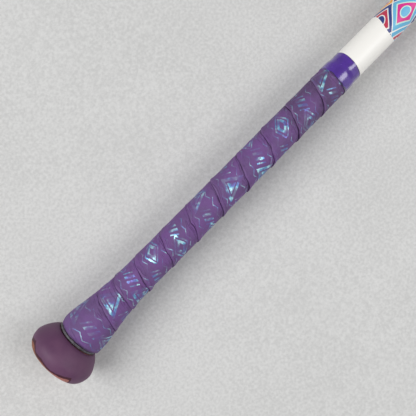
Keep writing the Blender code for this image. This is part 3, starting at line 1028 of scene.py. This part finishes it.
def makeBarrel():
    places = np.linspace(throat, taperStart + taperLength, 60)
    straight = np.linspace(taperStart + taperLength, shellEnd, 24)[1:]
    outer = [(x, batRadius(x)) for x in (*places, *straight)]
    inner = [(x, radius - barrelWall) for x, radius in outer if x < capSkirtStart]
    inner += latchRidge(barrelRadius - barrelWall, cap["latchWidth"] + cap["latchPlay"])
    inner.append((shellEnd, barrelRadius - barrelWall))
    piece = turned("barrelShell", outer + inner[::-1], makeLacquer("barrelLacquer"), barrelSides)
    settle(piece, "barrel_lacquer", "barrel_shell")


collar = {
    "leastWall": 0.9 * mm,
    "shades": (linear(30, 30, 32), linear(44, 44, 46)),
    "patches": (8 * mm, 3.0),
    "spread": (0.35, 0.7),
    "roughness": 0.36,
    "unevenness": 0.2,
    "grain": (0.5 * mm, 3.0),
    "grainDepth": 0.06 * mm,
}


def makeCollar():
    material = makeRubber("collarRubber", collar)
    places = np.linspace(*spanOf("joint_collar"), 40)
    outer = [(x, max(batRadius(x), jointRadius(x) + collar["leastWall"])) for x in places]
    inner = [(x, jointRadius(x) + glueGap) for x in places]
    settle(turned("jointCollar", outer + inner[::-1], material), "collar_rubber", "joint_collar")


def makeRibTree():
    # Ribs stand round the hub like spokes, between the hub and the skirt
    tree, sockets, given = newRule("capRibs", {
        "Int": ["Ribs"], "Float": ["Start", "End", "Floor", "Depth", "Thickness"], "Material": ["Material"]})
    length = given["End"] - given["Start"]
    size = joinVector(tree, given["Depth"], length, given["Thickness"])
    rib = addNode(tree, "GeometryNodeMeshCube", {"Size": size})
    middle = joinVector(tree, given["Floor"] - given["Depth"] * 0.5, given["Start"] + length * 0.5, 0.0)
    placed = addNode(tree, "GeometryNodeTransform", {"Geometry": rib.outputs["Mesh"], "Translation": middle})
    points = addNode(tree, "GeometryNodePoints", {"Count": given["Ribs"]})
    number = Flow(tree.nodes.new("GeometryNodeInputIndex").outputs[0])
    angle = (number + 0.5) * (2 * math.pi) / given["Ribs"]
    turnTo = addNode(tree, "FunctionNodeEulerToRotation", {"Euler": joinVector(tree, angle, 0.0, 0.0)})
    spokes = addNode(tree, "GeometryNodeInstanceOnPoints", {
        "Points": points.outputs[0], "Instance": placed.outputs[0], "Rotation": turnTo.outputs[0]})
    endRule(tree, spokes.outputs[0], given["Material"])
    return tree, sockets


def makeCap():
    material = makeRubber("capUrethane", cap)
    skirt = barrelRadius - barrelWall - glueGap
    bore = skirt - cap["skirtWall"]
    innerFloor = batEnd - cap["plate"]
    leadIn, sunk = cap["leadIn"], cap["ribSunk"]
    profile = [(batEnd - cap["dishDepth"] * (1 - share ** 2), cap["dishRadius"] * share)
               for share in np.linspace(0, 1, 16)]
    for angle in np.linspace(0, math.pi / 2, 13):
        profile.append((batEnd - cap["rounding"] * (1 - math.cos(angle)),
                        barrelRadius - cap["rounding"] * (1 - math.sin(angle))))
    profile += [(batEnd - cap["face"], barrelRadius), (batEnd - cap["face"], skirt)]
    profile += latchRidge(skirt, cap["latchWidth"])[::-1]
    profile += [(capSkirtStart + leadIn, skirt), (capSkirtStart, skirt - leadIn), (capSkirtStart, bore),
                (innerFloor, bore), (innerFloor, cap["hubRadius"]),
                (innerFloor - cap["ribDepth"], cap["hubRadius"]), (innerFloor - cap["ribDepth"], 0.0)]
    piece = turned("endCap", profile, material, barrelSides)
    tree, sockets = makeRibTree()
    ribs = grow(tree, sockets, {"Ribs": cap["ribs"], "Start": cap["hubRadius"] - sunk, "End": bore + sunk,
                                "Floor": innerFloor + sunk, "Depth": cap["ribDepth"],
                                "Thickness": cap["ribThickness"], "Material": material})
    shape = bmesh.new()
    shape.from_mesh(piece.data)
    shape.from_mesh(ribs)
    for face in shape.faces:
        face.material_index = 0
    shape.to_mesh(piece.data)
    shape.free()
    settle(piece, "cap_urethane", "end_cap")


makeHandle()
makeBarrel()
makeCollar()
makeCap()


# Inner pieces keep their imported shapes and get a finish

innerFinish = {
    "patches": (0.8 * mm, 3.0),
    "spread": (0.35, 0.65),
    "unevenness": 0.15,
    "grain": (0.8 * mm, 3.0),
    "grainDepth": 0.1 * mm,
}
innerLooks = {
    "taper_sleeve": {"shades": (linear(36, 36, 38), linear(54, 54, 56)), "roughness": 0.6},
    "handle_plug": {"shades": (linear(52, 52, 56), linear(84, 84, 88)), "roughness": 0.8},
    "joint_sleeve": {"shades": (linear(46, 46, 50), linear(66, 66, 70)), "roughness": 0.5},
}

for node, look in innerLooks.items():
    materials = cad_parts[node].data.materials
    materials.clear()
    materials.append(makeRubber(node + "Finish", {**innerFinish, **look}))
    print(f"{node}: finish")


# Floor, light and camera

studio = {
    "floor": (214, 214, 213),
    "floorMottle": 9,
    "floorReach": 4.0,
    "world": 0.24,
    "backdrop": 0.4,
    "lamps": {
        "knobLamp": {"place": (-0.76, 1.0, 1.75), "size": 1.6, "power": 33.0},
        "barrelLamp": {"place": (0.9, -0.8, 1.3), "size": 0.8, "power": 10.2},
        "sideLamp": {"place": (0.9, -2.4, 0.7), "size": 2.2, "power": 6.5},
    },
    # The camera stands over the bat, its lens leaning along the bat and off to the side
    "camera": Vector((0.1342, 0.0, 0.3411)),
    "lean": math.radians(2.23),
    "sideways": math.radians(2.58),
    "roll": (0.7029, -0.7113),
    "lens": 42.55,
    "shift": (-0.0366, 0.0361),
}


def makeFloor():
    material, shader, place = newMaterial("floorPaint")
    fine = noise(place, 2.2 * mm, detail=3.0, roughness=0.6)
    broad = noise(place, 60 * mm)
    paler, darker = [linear(*[value + step for value in studio["floor"]])
                     for step in (studio["floorMottle"], -studio["floorMottle"])]
    colour = (fine * 0.8 + broad * 0.2).fade(0.3, 0.7).mix(paler, darker)
    paint(shader, {"Base Color": colour, "Roughness": 0.9, "Specular IOR Level": 0.2})
    # The bat rests on its knob's rim and where the barrel reaches its full width
    rest = taperStart + taperLength
    slope = (barrelRadius - knob["radius"]) / (rest - knob["rimDepth"])
    reach = studio["floorReach"]
    mesh = bpy.data.meshes.new("floor")
    corners = []
    for x, y in ((-reach, -reach), (reach, -reach), (reach, reach), (-reach, reach)):
        corners.append((x, y, -knob["radius"] - slope * (x - knob["rimDepth"])))
    mesh.from_pydata(corners, [], [(0, 1, 2, 3)])
    floor = addMesh("floor", mesh, material)


def makeLight():
    world = bpy.data.worlds.new("studio")
    world.use_nodes = True
    tree = world.node_tree
    background = tree.nodes["Background"]
    background.inputs["Color"].default_value = (1, 1, 1, 1)
    # The camera, reflections and glass see a paler backdrop than the one that lights the bat
    rays = tree.nodes.new("ShaderNodeLightPath").outputs
    seen = Flow(rays["Is Camera Ray"]).most(rays["Is Glossy Ray"]).most(rays["Is Transmission Ray"])
    plug(seen * (studio["backdrop"] - studio["world"]) + studio["world"], background.inputs["Strength"])
    bpy.context.scene.world = world
    for name, facts in studio["lamps"].items():
        lamp = bpy.data.lights.new(name, "AREA")
        lamp.energy = facts["power"]
        lamp.size = facts["size"]
        holder = addObject(name, lamp)
        holder.location = facts["place"]
        toBat = Vector((facts["place"][0], 0, 0)) - Vector(facts["place"])
        holder.rotation_euler = toBat.to_track_quat("-Z", "Y").to_euler()


def makeCamera():
    lean, sideways = studio["lean"], studio["sideways"]
    down = Vector((math.sin(lean), 0, -math.cos(lean)))
    side = Vector((0, 1, 0))
    forward = math.cos(sideways) * down - math.sin(sideways) * side
    alongBat = Vector((math.cos(lean), 0, math.sin(lean)))
    acrossBat = math.sin(sideways) * down + math.cos(sideways) * side
    right = studio["roll"][0] * alongBat + studio["roll"][1] * acrossBat
    up = -studio["roll"][1] * alongBat + studio["roll"][0] * acrossBat
    turnMatrix = Matrix((right, up, -forward)).transposed().to_4x4()
    camera = bpy.data.cameras.new("camera")
    camera.lens = studio["lens"]
    camera.sensor_width = 36
    camera.shift_x, camera.shift_y = studio["shift"]
    camera.clip_start = 0.001
    cameraObject = addObject("camera", camera)
    cameraObject.matrix_world = Matrix.Translation(studio["camera"]) @ turnMatrix
    bpy.context.scene.camera = cameraObject


makeFloor()
makeLight()
makeCamera()
bpy.context.scene.view_settings.view_transform = "Standard"
print("studio ready")
